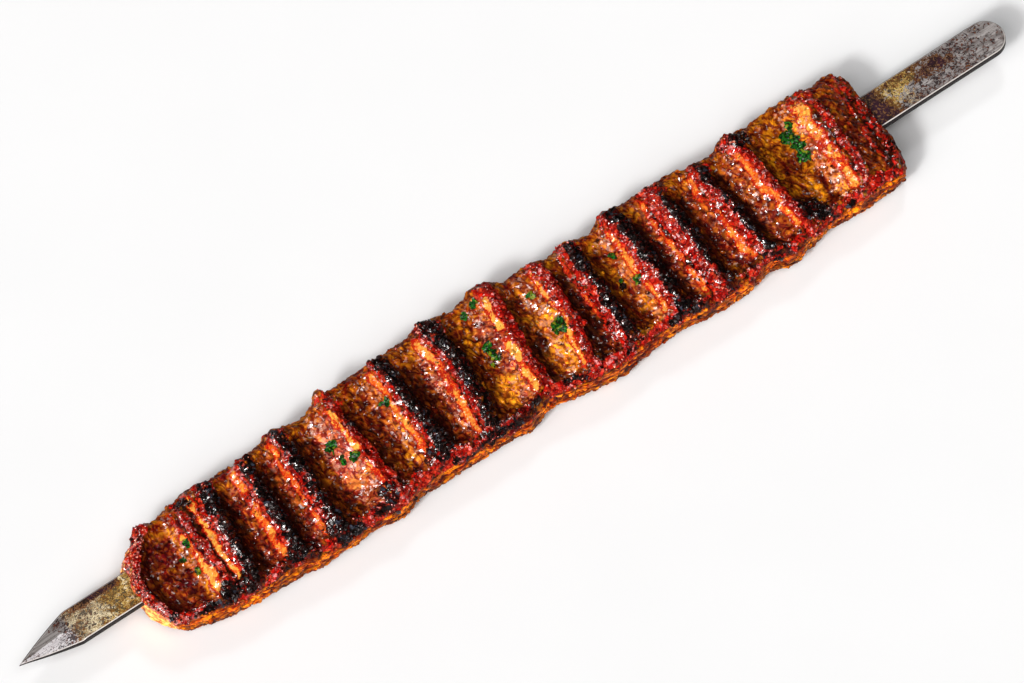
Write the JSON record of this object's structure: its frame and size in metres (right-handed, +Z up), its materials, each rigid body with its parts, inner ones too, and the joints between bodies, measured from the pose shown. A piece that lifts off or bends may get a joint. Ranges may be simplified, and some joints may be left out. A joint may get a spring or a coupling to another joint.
{
  "type": "kofta skewer",
  "caption": "Grilled minced-meat kofta pressed by hand along a flat steel skewer with a ground point and a round end; lies flat as food on a grill, tray or plate.",
  "frame": {"origin": "bottom centre of the bounding box, on the surface that the meat lies on", "axes": "+X along the skewer from its point to its round end, +Z up through the meat's ridged top, +Y across"},
  "size_m": [0.4, 0.0514, 0.0207],
  "materials": {
    "grilled_mince": "granular grilled mince, glossy with fat, red-brown with charred crests",
    "skewer_steel": "satin steel with straw and brown heat stains"
  },
  "bodies": {
    "root": {"kofta_meat": "grilled_mince", "skewer_blade": "skewer_steel"}
  },
  "joints": []
}
